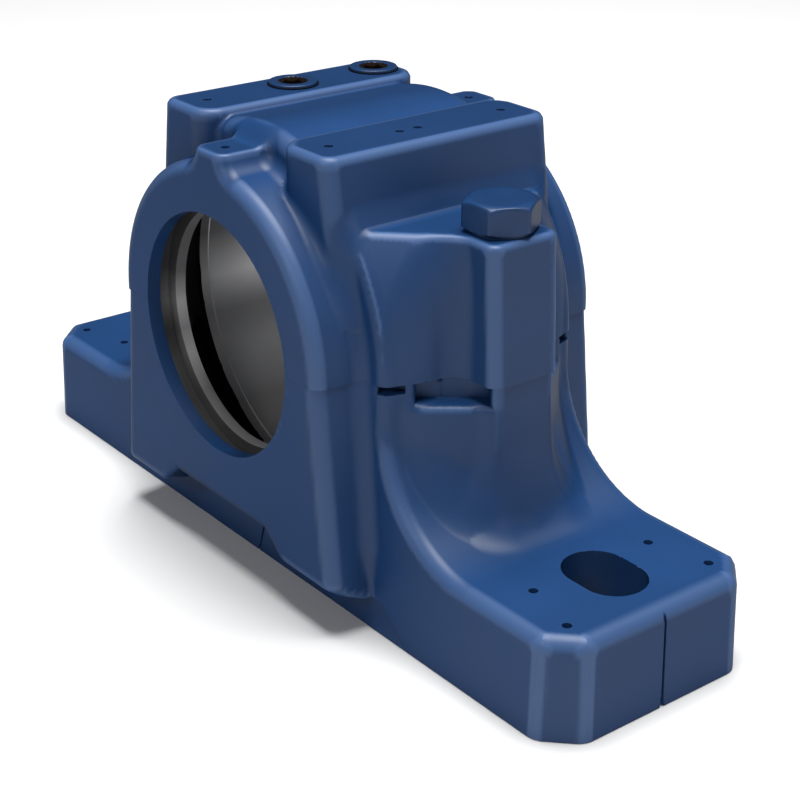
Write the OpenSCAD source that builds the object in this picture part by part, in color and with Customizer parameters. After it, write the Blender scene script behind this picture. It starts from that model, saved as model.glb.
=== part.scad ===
// Split plummer block: a two-piece cast housing for a rolling bearing of 100 mm outside diameter.
// Millimetres, Z up, X along the feet, Y along the shaft. The origin is at the middle of the
// underside of the base, so the shaft axis runs along Y at the height centre_h.

/* [Base] */
// Length of the base over both feet
base_l = 255; // [245:1:265]
// Width of the base at its underside
base_w = 70; // [68:1:74]
// Height of the foot top above the underside
foot_h = 28; // [25:1:31]
// Height of the shaft axis, and of the joint between base and cap
centre_h = 70; // [68:1:74]
// Cut across each corner of the base, seen from above
foot_chamfer = 9; // [6:0.5:12]
// Inward lean of the base's and body's sides, in degrees
side_lean = 2; // [1:0.25:2.5]
// Rounding of the long edges of feet, sweep and body
edge_r = 4; // [2:0.5:5]
// Radius of the concave sweep from foot to body
sweep_r = 33.5; // [30:0.5:36]
// Height of the set-back strip low on the long sides
strip_h = 9.5; // [7:0.5:12]
// Depth of the set-back strip at its upper end
strip_l = 2.3; // [1:0.1:3]
// Half length of the set-back strip at the underside
strip_x = 69; // [64:1:76]

/* [Foot slots] */
// Distance between the middles of the two foot slots
slot_spacing = 210; // [206:1:214]
// Width of a foot slot
slot_w = 18; // [14:0.5:20]
// Length of a foot slot
slot_l = 24; // [22:1:28]

/* [Bearing body] */
// Overall width of the housing along the shaft
body_w = 95; // [92:1:100]
// Radius of the round end collars of the cap
collar_r = 47.6; // [46.5:0.1:48.5]
// Rounding of the collars' outer edge
collar_edge_r = 4; // [2:0.5:5]
// How far the cap stands proud of the base at the joint
joint_step = 0.5; // [0.2:0.1:1]
// Outward flare of the base's collars toward their lower end, in degrees
collar_flare = 6.3; // [3:0.1:7]
// Height of the collars' lower end at the end faces
skirt_h = 14.3; // [12:0.1:18]
// Rise of the collars' underside from the base's side to the end face
skirt_rise = 6; // [3:0.5:8]
// Height of the arch in the collars' lower end, at its flat top
arch_h = 21.2; // [19:0.2:24]
// Half width of the arch at its flat top
arch_x = 22.5; // [18:0.5:28]
// Run of the arch's slanted sides
arch_run = 6; // [3:0.5:8]
// Radius of the drum between the collars
drum_r = 56.3; // [55.5:0.1:57]
// Width of the drum along the shaft
drum_w = 64.6; // [62:0.2:65]
// Hollow rounding between collar and drum
neck_r = 4; // [2:0.5:5]

/* [Bore] */
// Diameter of the bearing seat
seat_d = 100; // [98:1:101]
// Width of the bearing seat
seat_w = 41; // [38:1:43]
// Lead-in at each edge of the seat
seat_lead = 1; // [0.5:0.25:1.5]
// Distance of the two fine turned lines from the middle of the seat
line_y = 17.2; // [14:0.2:18]
// Diameter of the chambers beside the seat
chamber_d = 105; // [103:0.5:106]
// Thickness of each end wall
wall_t = 12.5; // [11:0.5:14]
// Height of the end wall inside the chamber, from the shaft opening outward
wall_rim = 4; // [3:0.5:6]
// Slant of the chamber's end along the shaft
chamber_slant = 11.5; // [10:0.5:13]
// Diameter of the shaft opening in the end walls
opening_d = 68; // [60:1:72]
// Diameter at the bottom of the seal groove
groove_d = 76; // [74:1:80]
// Width of the seal groove
groove_w = 5; // [4:0.5:6]
// Distance of the seal groove from the end face
groove_y = 4.1; // [3:0.1:4.5]
// Diameter of the grease sump in the base
sump_d = 111; // [108:1:112]
// How far below the shaft axis the sump begins
sump_drop = 17; // [14:1:24]

/* [Cap pads] */
// Height of the two pads above the underside of the base
pad_h = 126; // [125:0.5:127]
// Length of a pad along the shaft
pad_l = 71; // [68:1:74]
// Distance of a pad's inner side from the middle
pad_in = 20.5; // [19:0.5:22]
// Distance of a pad's outer side from the middle, at the top
pad_out = 41.3; // [40:0.1:42]
// Outward lean of the pad's outer side, in degrees
pad_lean = 6; // [3:0.5:7]
// Rounding of the pads' corners, seen from above
pad_corner_r = 5; // [4:0.5:7]
// Rounding of the pads' top edges
pad_edge_r = 2.5; // [1:0.5:3]
// Height at which a pad's ends run out on the body
pad_foot_h = 98; // [94:1:104]
// Height at which a pad's ends begin to slant toward the body
pad_slant_h = 110; // [106:1:114]
// Distance of the pads' small dimples and plugs from the middle
pad_mark_x = 28.3; // [27:0.1:31]
// Distance of the outer dimples and of the rear plug along the shaft
pad_mark_y = 28.5; // [26:0.5:30]
// Distance between the pair of dimples at the middle of the right pad
pad_pair = 6; // [4:0.5:8]

/* [Collar bosses] */
// Height of the small bosses above the underside of the base
boss_h = 121.4; // [119.5:0.1:122]
// Width of the small bosses
boss_w = 13.5; // [11:0.5:16]
// Hollow rounding at the foot of the bosses
boss_foot_r = 4; // [2:0.5:5]
// Distance of a boss's dimple from the middle along the shaft
boss_mark_y = 41.2; // [38:0.2:43]

/* [Cap bolts] */
// Distance between the two cap bolts
bolt_spacing = 124; // [122:0.5:126]
// Diameter of the bolt's thread
bolt_d = 12; // [10:0.5:12]
// Length of the bolt below its head
bolt_l = 60; // [50:1:62]
// Width across the flats of the bolt head
bolt_flats = 18; // [16:0.5:19]
// Height of the bolt head above its raised ring
bolt_head_h = 7.5; // [6:0.5:8]
// Height of the raised ring below the head
bolt_ring_h = 1; // [0.5:0.1:1.5]
// Turn of the bolt heads about their axes, in degrees
bolt_turn = 3; // [0:1:30]
// Height of the ledge that the bolt heads sit on
ledge_h = 107.3; // [106:0.1:109]
// Diameter of the bolt hole in the cap
bolt_hole_d = 13.5; // [13:0.25:14]
// Distance of the bolt column's end face from the middle, at the joint
column_x = 74; // [73:0.25:76]
// Width of the bolt column
column_w = 22.6; // [21:0.2:25]
// Inward lean of the column's end face over the cap's height
column_lean = 2; // [1:0.25:2.5]
// Rounding of the column's upright edges
column_r = 3.5; // [2:0.5:4]
// Hollow rounding between the column and the flank
flank_r = 4.5; // [2:0.5:5]

/* [Joint] */
// Drop of the base's rebate below the joint, beside the columns
rebate_h = 5.5; // [3:0.5:7]
// Depth of the rebate into the flank
rebate_l = 3; // [2:0.5:3.5]
// Height of the four pry slots in the cap's lower edge
pry_h = 2; // [1:0.25:3]
// Depth of the pry slots
pry_l = 2.5; // [1.5:0.25:3]
// Length of the pry slots
pry_w = 6.5; // [5:0.5:8]
// Diameter of the two locating pins
pin_d = 5; // [4:0.5:6]
// Length of the locating pins
pin_l = 16; // [12:1:20]
// Distance of the locating pins from the middle
pin_x = 55.5; // [55:0.25:56.5]
// Distance of the locating pins along the shaft
pin_y = 14; // [13:0.5:15]

/* [Plugs] */
// Diameter of the plug's thread
plug_d = 9.7; // [8:0.1:10]
// Length of the plug's thread
plug_l = 8; // [6:0.5:9]
// Diameter of the plug's collar
plug_collar_d = 15; // [13:0.5:16]
// Height of the plug's collar
plug_collar_h = 1.3; // [0.8:0.1:2]
// Width across the flats of the plug's socket
socket_flats = 6.5; // [4:0.25:7]
// Depth of the plug's socket
socket_l = 5; // [3:0.5:6]
// Diameter of the grease channel below a plug
channel_d = 5; // [3:0.5:7]
// Diameter of the sealing washer
washer_d = 16.8; // [15.5:0.1:17.5]
// Thickness of the sealing washer
washer_t = 0.8; // [0.5:0.1:1.5]

/* [Marks] */
// Diameter of the small dimples
dimple_d = 2.4; // [1.5:0.1:3]
// Depth of the small dimples
dimple_l = 1.4; // [0.8:0.1:2]
// Width of the centre marks on the sides of the base
mark_w = 0.8; // [0.5:0.1:1.5]
// Depth of the centre marks
mark_l = 0.8; // [0.5:0.1:1.2]
// Distance of the inner foot dimples from the middle
foot_mark_in = 100.5; // [98:0.5:103]
// Distance of the inner foot dimples along the shaft
foot_mark_in_y = 20; // [18:0.5:22]
// Distance of the outer foot dimples from the middle
foot_mark_out = 117.5; // [114:0.5:118]
// Distance of the outer foot dimples along the shaft
foot_mark_out_y = 24.5; // [22:0.5:26]

/* [Hidden] */
$fn = 64;
// Clearance of pins and threads, all round
fit_gap = 0.1;
// Overlap of joined solids and overrun of cuts
over = 1;
// Clear length of a hole beyond the piece in it
hole_end = 2;
cast_blue = "#24497d";
steel_grey = "#7d7f83";
washer_black = "#17191d";
half_l = base_l / 2;
half_w = base_w / 2;
half_body = body_w / 2;
half_drum = drum_w / 2;
half_bolt = bolt_spacing / 2;
t_side = tan(side_lean);
t_flare = tan(collar_flare);
sweep_x = drum_r + sweep_r;
sweep_z = foot_h + sweep_r;
base_collar_x = collar_r - joint_step;
skirt_low_h = skirt_h - skirt_rise;
// Corner of the flank, where its slanted side meets the root of the column
flank_x = column_x - 15;
flank_y = column_w / 2 + 8;
// Half length of the drum at the height of the ledge
ledge_x = sqrt(drum_r * drum_r - (ledge_h - centre_h) * (ledge_h - centre_h));

// Two copies of the children, the second one mirrored
module both_sides(v) {
    children();
    mirror(v) children();
}

// Four copies of the children, one in each quarter
module four_corners() {
    both_sides([1, 0, 0]) both_sides([0, 1, 0]) children();
}

// Carries an outline of X and Z along the shaft
module along_y(w) {
    rotate([90, 0, 0]) linear_extrude(height = w, center = true) children();
}

// Carries an outline of Y and Z along the feet
module along_x(l) {
    rotate([90, 0, 90]) linear_extrude(height = l, center = true) children();
}

// Turns an outline of radius and width about the shaft axis
module turned() {
    translate([0, 0, centre_h]) rotate([90, 0, 0]) rotate_extrude($fn = 128) children();
}

// Half section of a disc with rounded rims: radius r, half width h, rim rounding e
module rim_section(r, h, e) {
    translate([0, -h]) square([r - e, 2 * h]);
    translate([0, e - h]) square([r, 2 * (h - e)]);
    both_sides([0, 1, 0]) translate([r - e, h - e]) intersection() {
        circle(e);
        square(e);
    }
}

// Rectangle with round corners, centred
module round_rect(l, w, r) {
    square([l - 2 * r, w], center = true);
    square([l, w - 2 * r], center = true);
    four_corners() translate([l / 2 - r, w / 2 - r]) circle(r);
}

// Fills an inner corner at the origin, free toward +X and +Y, with a hollow rounding
module inner_corner(r) {
    difference() {
        translate([-over, -over]) square(r + over);
        translate([r, r]) circle(r);
    }
}

// What a rounding takes off an outer corner at the origin, solid toward -X and -Y
module round_off(r) {
    difference() {
        translate([-r, -r]) square(r + over);
        translate([-r, -r]) circle(r);
    }
}

// Half width of the leaning sides at the height z
function side_y(z) = half_w - z * t_side;

// Section with leaning sides and rounded upper corners: half width h at its foot, height top
module leaning_section(h, top, r) {
    zc = top - r;
    yc = h - zc * t_side - r / cos(side_lean);
    yt = yc + r * cos(side_lean);
    zt = zc + r * sin(side_lean);
    polygon([[-h, 0], [h, 0], [yt, zt], [yc, zc], [yc, top], [-yc, top], [-yc, zc], [-yt, zt]]);
    both_sides([1, 0, 0]) translate([yc, zc]) circle(r);
}

// A small round dimple, sunk from the height z
module dimple(x, y, z) {
    translate([x, y, z - dimple_l]) cylinder(h = dimple_l + over, d = dimple_d, $fn = 24);
}

// Section of a bearing chamber of diameter d, with slanted ends toward the end walls
module chamber_section(d) {
    y = half_body - wall_t;
    r0 = opening_d / 2 + wall_rim;
    polygon([[0, -y], [r0, -y], [d / 2, chamber_slant - y], [d / 2, y - chamber_slant], [r0, y], [0, y]]);
}

// The shaft openings, seal grooves and chambers, shared by base and cap
module bore_cut() {
    turned() {
        translate([0, -half_body - over]) square([opening_d / 2, body_w + 2 * over]);
        both_sides([0, 1, 0]) translate([0, half_body - groove_y - groove_w])
            square([groove_d / 2, groove_w]);
        chamber_section(chamber_d);
    }
}

// The ring of the bearing seat, which stands in the chamber
module seat_ring() {
    s = seat_lead;
    turned() difference() {
        translate([seat_d / 2, -seat_w / 2]) square([chamber_d / 2 - seat_d / 2 + over, seat_w]);
        both_sides([0, 1, 0]) translate([seat_d / 2, seat_w / 2])
            polygon([[-over, -2 * s], [0, -2 * s], [s, 0], [s, over], [-over, over]]);
        both_sides([0, 1, 0]) translate([seat_d / 2 - over, line_y - 0.3]) square([over + 0.3, 0.6]);
    }
}

// The two grease sumps in the base, one at each side of the seat
module sumps() {
    difference() {
        turned() chamber_section(sump_d);
        translate([-body_w, -body_w, centre_h - sump_drop]) cube([2 * body_w, 2 * body_w, body_w]);
        translate([0, 0, centre_h]) cube([2 * body_w, seat_w, 4 * body_w], center = true);
    }
}

// Outline of the flanks and bolt columns, which stand inside the drum's width; s is a set-back
module flank_outline(s) {
    x = column_x - s;
    w = column_w - 2 * s;
    y0 = half_drum - over;
    both_sides([1, 0, 0]) {
        translate([x / 2, 0]) round_rect(x, w, column_r);
        polygon([[0, -y0], [ledge_x - over, -y0], [flank_x - 1.5, -flank_y - 2], [flank_x, 1 - flank_y],
            [flank_x, flank_y - 1], [flank_x - 1.5, flank_y + 2], [ledge_x - over, y0], [0, y0]]);
        both_sides([0, 1, 0]) translate([flank_x, w / 2]) inner_corner(flank_r);
    }
}

// The two bolt holes, of diameter d, from the height z up through the ledge
module bolt_holes(z, d) {
    both_sides([1, 0, 0]) translate([half_bolt, 0, z]) cylinder(h = pad_h - z, d = d);
}

// The holes of the two locating pins
module pin_holes() {
    for (s = [-1, 1]) translate([s * pin_x, -s * pin_y, centre_h])
        cylinder(h = pin_l + 2 * hole_end, d = pin_d + 2 * fit_gap, center = true, $fn = 32);
}

// The two feet with the slab between them
module foot_slab() {
    c = foot_chamfer;
    intersection() {
        linear_extrude(height = foot_h) polygon([[c - half_l, -half_w], [half_l - c, -half_w],
            [half_l, c - half_w], [half_l, half_w - c], [half_l - c, half_w], [c - half_l, half_w],
            [-half_l, half_w - c], [-half_l, c - half_w]]);
        along_x(base_l) leaning_section(half_w, foot_h, edge_r);
        along_y(base_w) leaning_section(half_l, foot_h, edge_r);
    }
}

// Rounding along the sweep and along the upright edge above it, as a cutter at one corner
module sweep_rounding() {
    translate([sweep_x, -side_y(sweep_z), sweep_z]) rotate([90 - side_lean, 0, 0])
        rotate([0, 0, 180]) rotate_extrude(angle = 90, $fn = 128)
            translate([sweep_r, 0]) mirror([1, 0]) round_off(edge_r);
    translate([drum_r, -side_y(sweep_z), sweep_z]) rotate([-side_lean, 0, 0])
        linear_extrude(height = centre_h) mirror([0, 1]) round_off(edge_r);
}

// The body of the base above the feet, with the concave sweep at each end
module base_web() {
    difference() {
        along_x(2 * sweep_x) polygon([[-side_y(foot_h / 2), foot_h / 2], [side_y(foot_h / 2), foot_h / 2],
            [side_y(centre_h), centre_h], [-side_y(centre_h), centre_h]]);
        both_sides([1, 0, 0]) {
            translate([sweep_x, 0, sweep_z]) rotate([90, 0, 0])
                cylinder(h = 2 * base_w, r = sweep_r, center = true, $fn = 128);
            translate([drum_r, -base_w, sweep_z]) cube([sweep_r + over, 2 * base_w, centre_h]);
        }
        four_corners() sweep_rounding();
    }
}

// The lower half of the collars: it flares downward and its underside rises outward
module base_collars() {
    r = collar_edge_r;
    x0 = base_collar_x + centre_h * t_flare;
    x1 = base_collar_x;
    dx = r / cos(collar_flare);
    z1 = skirt_h + over * skirt_rise / (half_body - half_w);
    y1 = half_body + over;
    intersection() {
        union() {
            along_y(body_w - 2 * r) polygon([[-x0, 0], [x0, 0], [x1, centre_h], [-x1, centre_h]]);
            along_y(body_w) polygon([[dx - x0, 0], [x0 - dx, 0], [x1 - dx, centre_h], [dx - x1, centre_h]]);
            four_corners() translate([x0 - dx, half_body - r, 0]) rotate([0, -collar_flare, 0])
                translate([0, 0, -over]) cylinder(h = centre_h + 4 * over, r = r);
            four_corners() translate([x0, half_w, 0]) rotate([side_lean, -collar_flare, 0])
                linear_extrude(height = centre_h + 4 * over) inner_corner(neck_r);
        }
        along_x(base_l) polygon([[0, 0], [half_w, skirt_low_h], [y1, z1], [y1, centre_h], [-y1, centre_h],
            [-y1, z1], [-half_w, skirt_low_h]]);
    }
}

// The arch below each collar, open toward the end face
module skirt_arch() {
    z = skirt_low_h - over;
    x = arch_x + (arch_h - z) * arch_run / (arch_h - skirt_h);
    difference() {
        along_y(2 * body_w) polygon([[-x, z], [x, z], [arch_x, arch_h], [-arch_x, arch_h]]);
        along_x(base_l) polygon([[-half_w, 0], [half_w, 0], [side_y(centre_h), centre_h],
            [-side_y(centre_h), centre_h]]);
    }
}

// The strip set back low on the long sides, deepest at its upper end
module set_back_strip() {
    x1 = strip_x - strip_h * 1.2;
    y1 = side_y(strip_h) - strip_l;
    intersection() {
        both_sides([0, 1, 0]) along_x(base_l) polygon([[half_w, 0], [half_body, 0],
            [half_body, strip_h], [y1, strip_h]]);
        along_y(2 * body_w) polygon([[-strip_x, 0], [strip_x, 0], [x1, strip_h], [-x1, strip_h]]);
    }
    both_sides([0, 1, 0]) along_x(mark_w) polygon([[half_w - mark_l, -over], [half_body, -over],
        [half_body, strip_h], [y1 - mark_l, strip_h]]);
}

// The centre marks on the two end faces of the base
module end_marks() {
    z = foot_h - edge_r / 3;
    both_sides([1, 0, 0]) along_y(mark_w) polygon([[half_l - mark_l, -over], [half_l + over, -over],
        [half_l + over, z], [half_l - z * t_side - mark_l, z]]);
}

// The rebates in the base's upper edge, beside the columns
module rebates() {
    four_corners() translate([flank_x + 3.6, flank_y - 3.8, centre_h - rebate_h]) rotate(-47)
        translate([-8.5, -rebate_l, 0]) cube([17, 4 * rebate_l, rebate_h + over]);
}

module base() {
    color(cast_blue) difference() {
        union() {
            foot_slab();
            base_web();
            base_collars();
            translate([0, 0, foot_h / 2]) linear_extrude(height = centre_h - foot_h / 2)
                flank_outline(joint_step);
        }
        difference() {
            bore_cut();
            seat_ring();
        }
        sumps();
        skirt_arch();
        set_back_strip();
        end_marks();
        rebates();
        bolt_holes(ledge_h - bolt_l - hole_end, bolt_d + 2 * fit_gap);
        pin_holes();
        both_sides([1, 0, 0]) translate([slot_spacing / 2, 0, -over])
            linear_extrude(height = foot_h + 2 * over) {
                square([slot_l - slot_w, slot_w], center = true);
                both_sides([1, 0, 0]) translate([(slot_l - slot_w) / 2, 0]) circle(d = slot_w);
            }
        four_corners() {
            dimple(foot_mark_in, foot_mark_in_y, foot_h);
            dimple(foot_mark_out, foot_mark_out_y, foot_h);
        }
    }
}

// The right pad, with rounded corners and top edges and a leaning outer side
module pad() {
    r = pad_corner_r;
    e = pad_edge_r;
    t = tan(pad_lean);
    c = cos(pad_lean);
    y = pad_l / 2;
    xf = pad_out + (pad_h - pad_foot_h) * t;
    zt = pad_h - e;
    xt = pad_out + e * t - e / c;
    intersection() {
        union() {
            along_y(pad_l - 2 * r) polygon([[pad_in, pad_foot_h], [xf, pad_foot_h], [pad_out, pad_h], [pad_in, pad_h]]);
            along_y(pad_l) polygon([[pad_in + r, pad_foot_h], [xf - r / c, pad_foot_h],
                [pad_out - r / c, pad_h], [pad_in + r, pad_h]]);
            both_sides([0, 1, 0]) {
                translate([pad_in + r, y - r, pad_foot_h]) cylinder(h = pad_h - pad_foot_h, r = r);
                translate([xf - r / c, y - r, pad_foot_h]) rotate([0, -pad_lean, 0]) translate([0, 0, -over])
                    cylinder(h = pad_h - pad_foot_h + 3 * over, r = r);
            }
        }
        along_y(pad_l) {
            polygon([[pad_in, pad_foot_h], [xf, pad_foot_h], [xt + e * c, zt + e * sin(pad_lean)], [xt, zt],
                [xt, pad_h], [pad_in + e, pad_h], [pad_in + e, zt], [pad_in, zt]]);
            translate([pad_in + e, zt]) circle(e);
            translate([xt, zt]) circle(e);
        }
        along_x(base_l) {
            polygon([[-half_drum, pad_foot_h], [half_drum, pad_foot_h], [y, pad_slant_h], [y, zt], [y - e, zt],
                [y - e, pad_h], [e - y, pad_h], [e - y, zt], [-y, zt], [-y, pad_slant_h]]);
            both_sides([1, 0, 0]) translate([y - e, zt]) circle(e);
        }
    }
}

// The small boss on top of each collar
module collar_boss() {
    w = boss_w / 2;
    r = boss_foot_r;
    z = centre_h + sqrt(collar_r * collar_r - (w + r) * (w + r));
    both_sides([0, 1, 0]) translate([0, (half_drum + half_body - over) / 2, 0])
        along_y(half_body - half_drum + over) {
            translate([-w, z - over]) square([boss_w, boss_h - z + over]);
            both_sides([1, 0, 0]) translate([w, z]) inner_corner(r);
        }
}

module cap() {
    x1 = column_x - column_lean;
    color(cast_blue) difference() {
        intersection() {
            union() {
                turned() {
                    rim_section(drum_r, half_drum, edge_r);
                    rim_section(collar_r, half_body, collar_edge_r);
                    both_sides([0, 1, 0]) translate([collar_r, half_drum]) inner_corner(neck_r);
                }
                linear_extrude(height = ledge_h) flank_outline(0);
                both_sides([1, 0, 0]) pad();
                collar_boss();
            }
            along_y(2 * body_w) polygon([[-column_x, centre_h], [column_x, centre_h], [x1, ledge_h],
                [x1, pad_h + 2 * over], [-x1, pad_h + 2 * over], [-x1, ledge_h]]);
        }
        difference() {
            bore_cut();
            seat_ring();
        }
        bolt_holes(centre_h - over, bolt_hole_d);
        pin_holes();
        four_corners() translate([drum_r - pry_l, half_drum - edge_r - 4, centre_h - over])
            cube([2 * pry_l + edge_r, pry_w, pry_h + over]);
        for (y = [0, pad_mark_y]) translate([-pad_mark_x, y, 0]) {
            translate([0, 0, pad_h - plug_l - hole_end])
                cylinder(h = plug_l + 2 * hole_end, d = plug_d + 2 * fit_gap);
            translate([0, 0, centre_h]) cylinder(h = pad_h - centre_h, d = channel_d);
        }
        dimple(-pad_mark_x, -pad_mark_y, pad_h);
        both_sides([0, 1, 0]) {
            dimple(pad_mark_x, pad_mark_y, pad_h);
            dimple(0, boss_mark_y, boss_h);
        }
        for (y = [0, -pad_pair]) dimple(pad_mark_x, y, pad_h);
    }
}

// Hexagon-head bolt standing on its ring, head upward
module cap_bolt() {
    d = bolt_flats / cos(30);
    f = bolt_flats - 1;
    color(cast_blue) {
        translate([0, 0, -bolt_l]) cylinder(h = bolt_l, d = bolt_d);
        cylinder(h = bolt_ring_h, d = f);
        translate([0, 0, bolt_ring_h]) intersection() {
            rotate(bolt_turn) linear_extrude(height = bolt_head_h)
                polygon([for (a = [0 : 60 : 300]) [d / 2 * cos(a), d / 2 * sin(a)]]);
            rotate_extrude() polygon([[0, 0], [d, 0], [d, bolt_head_h - (d - f / 2) * tan(30)],
                [f / 2, bolt_head_h], [0, bolt_head_h]]);
        }
    }
}

module cap_bolt_left() {
    translate([-half_bolt, 0, ledge_h]) cap_bolt();
}

module cap_bolt_right() {
    translate([half_bolt, 0, ledge_h]) cap_bolt();
}

// Plain locating pin across the joint
module locating_pin() {
    color(steel_grey) cylinder(h = pin_l, d = pin_d, center = true, $fn = 32);
}

module locating_pin_left() {
    translate([-pin_x, pin_y, centre_h]) locating_pin();
}

module locating_pin_right() {
    translate([pin_x, -pin_y, centre_h]) locating_pin();
}

// Flat sealing ring below a plug
module plug_washer() {
    color(washer_black) difference() {
        cylinder(h = washer_t, d = washer_d);
        translate([0, 0, -over]) cylinder(h = washer_t + 2 * over, d = plug_d + 4 * fit_gap);
    }
}

module plug_washer_middle() {
    translate([-pad_mark_x, 0, pad_h]) plug_washer();
}

module plug_washer_rear() {
    translate([-pad_mark_x, pad_mark_y, pad_h]) plug_washer();
}

// Collared screw plug with a hexagon socket
module lube_plug() {
    d = socket_flats / cos(30);
    c = 0.4;
    color(cast_blue) difference() {
        union() {
            translate([0, 0, -plug_l - washer_t]) cylinder(h = plug_l + washer_t, d = plug_d);
            rotate_extrude() polygon([[0, 0], [plug_collar_d / 2, 0], [plug_collar_d / 2, plug_collar_h - c],
                [plug_collar_d / 2 - c, plug_collar_h], [0, plug_collar_h]]);
        }
        translate([0, 0, plug_collar_h - socket_l]) linear_extrude(height = socket_l + over)
            polygon([for (a = [0 : 60 : 300]) [d / 2 * cos(a), d / 2 * sin(a)]]);
    }
}

module lube_plug_middle() {
    translate([-pad_mark_x, 0, pad_h + washer_t]) lube_plug();
}

module lube_plug_rear() {
    translate([-pad_mark_x, pad_mark_y, pad_h + washer_t]) lube_plug();
}

base();
cap();
cap_bolt_left();
cap_bolt_right();
locating_pin_left();
locating_pin_right();
lube_plug_middle();
lube_plug_rear();
plug_washer_middle();
plug_washer_rear();
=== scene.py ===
import math

import bpy
import numpy as np
from mathutils import Matrix, Vector


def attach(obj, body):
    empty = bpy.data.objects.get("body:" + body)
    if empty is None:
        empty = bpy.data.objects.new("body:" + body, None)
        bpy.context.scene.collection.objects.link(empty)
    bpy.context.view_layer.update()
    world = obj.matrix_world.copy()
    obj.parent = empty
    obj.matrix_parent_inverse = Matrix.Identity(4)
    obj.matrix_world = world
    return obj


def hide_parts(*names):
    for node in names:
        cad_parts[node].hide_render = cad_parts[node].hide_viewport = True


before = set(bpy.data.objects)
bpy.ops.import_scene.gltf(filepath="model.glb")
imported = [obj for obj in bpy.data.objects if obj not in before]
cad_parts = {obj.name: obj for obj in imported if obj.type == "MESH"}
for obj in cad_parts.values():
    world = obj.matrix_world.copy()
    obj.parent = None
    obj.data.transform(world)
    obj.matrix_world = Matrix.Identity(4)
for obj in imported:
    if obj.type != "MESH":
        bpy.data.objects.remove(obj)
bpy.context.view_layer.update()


# Studio
# The camera stands where the photograph was taken from, in front of one end and above it. One wide
# soft box overhead makes the level faces brighter than the upright ones, and two small weak ones put
# a little shine on the rounded edges.

camera_azimuth = math.radians(51.943)
camera_height = math.radians(24.546)
camera_roll = math.radians(0.19)
camera_distance = 0.488253
camera_target = Vector((0.02548, -0.003296, 0.04798))

back = Vector((math.sin(camera_azimuth) * math.cos(camera_height),
               -math.cos(camera_azimuth) * math.cos(camera_height), math.sin(camera_height)))
place = camera_target + back * camera_distance
level = (-back).cross(Vector((0, 0, 1))).normalized()
upright = level.cross(-back)
right = level * math.cos(camera_roll) + upright * math.sin(camera_roll)
up = upright * math.cos(camera_roll) - level * math.sin(camera_roll)
camera_data = bpy.data.cameras.new("camera")
camera_data.sensor_width = 36
camera_data.lens = 78.947
camera_data.clip_start = 0.01
camera_data.clip_end = 20
camera = bpy.data.objects.new("camera", camera_data)
camera.matrix_world = Matrix(((right.x, up.x, back.x, place.x), (right.y, up.y, back.y, place.y),
                              (right.z, up.z, back.z, place.z), (0, 0, 0, 1)))
bpy.context.scene.collection.objects.link(camera)
bpy.context.scene.camera = camera


def from_hex(colour):
    """The linear colour of an sRGB hex value: each channel c becomes c / 12.92 at the dark end, and
    otherwise ((c + 0.055) / 1.055) to the power 2.4."""
    c = [int(colour[i:i + 2], 16) / 255 for i in (1, 3, 5)]
    return tuple(v / 12.92 if v <= 0.04045 else ((v + 0.055) / 1.055) ** 2.4 for v in c) + (1.0,)


def add_node(tree, kind, settings=None, **links):
    """Adds a node to a tree. Settings name its own values or its sockets, and links name a socket and
    the (node, output) that feeds it. Where sockets or outputs share a name, s0, s1 and so on is their
    number."""
    def numbered(key):
        """The number in s0, s1 and so on, or else the name with spaces."""
        return int(key[1:]) if key[0] == "s" and key[1:].isdigit() else key.replace("_", " ")

    n = tree.nodes.new(kind)
    for key, value in (settings or {}).items():
        if hasattr(n, key):
            setattr(n, key, value)
        else:
            n.inputs[numbered(key)].default_value = value
    for key, (source, output) in links.items():
        tree.links.new(source.outputs[numbered(output)], n.inputs[numbered(key)])
    return n


def new_material(name):
    """A new material with an empty tree, and that tree."""
    m = bpy.data.materials.new(name)
    m.use_nodes = True
    m.node_tree.nodes.clear()
    return m, m.node_tree


# Matt pale painted board: it gives the eye an even ground with a soft shadow.
white_board, tree = new_material("white_board")
shader = add_node(tree, "ShaderNodeBsdfPrincipled",
                  {"Base Color": from_hex("#d2d2d2"), "Roughness": 0.9, "Specular IOR Level": 0.1})
add_node(tree, "ShaderNodeOutputMaterial", Surface=(shader, "BSDF"))

floor_reach, floor_z = 3.0, -0.0002
floor_mesh = bpy.data.meshes.new("floor")
floor_mesh.from_pydata([(sx * floor_reach, sy * floor_reach, floor_z)
                        for sx, sy in ((-1, -1), (1, -1), (1, 1), (-1, 1))], [], [(0, 1, 2, 3)])
floor_mesh.materials.append(white_board)
floor = bpy.data.objects.new("floor", floor_mesh)
bpy.context.scene.collection.objects.link(floor)

room = bpy.data.worlds.new("room")
room.use_nodes = True
room.node_tree.nodes["Background"].inputs["Color"].default_value = (1, 1, 1, 1)
room.node_tree.nodes["Background"].inputs["Strength"].default_value = 0.1
bpy.context.scene.world = room

# Name, place, width and height in metres, and power in watts of each box. All of them face a point in
# the bore, a little below the shaft.
soft_boxes = [("box_above", (0.0, 0.1, 1.8), 1.1, 1.0, 62.0),
              ("box_front", (0.3, -1.1, 0.85), 0.4, 0.3, 4.5),
              ("box_right", (1.2, 0.3, 0.6), 0.3, 0.3, 1.5)]
lamp_aim = Vector((0, 0, 0.06))
for name, spot, wide, high, power in soft_boxes:
    lamp = bpy.data.lights.new(name, "AREA")
    lamp.shape = "RECTANGLE"
    lamp.size = wide
    lamp.size_y = high
    lamp.energy = power
    holder = bpy.data.objects.new(name, lamp)
    holder.location = spot
    holder.rotation_euler = (lamp_aim - Vector(spot)).to_track_quat("-Z", "Y").to_euler()
    bpy.context.scene.collection.objects.link(holder)

bpy.context.scene.view_settings.view_transform = "Standard"


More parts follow.
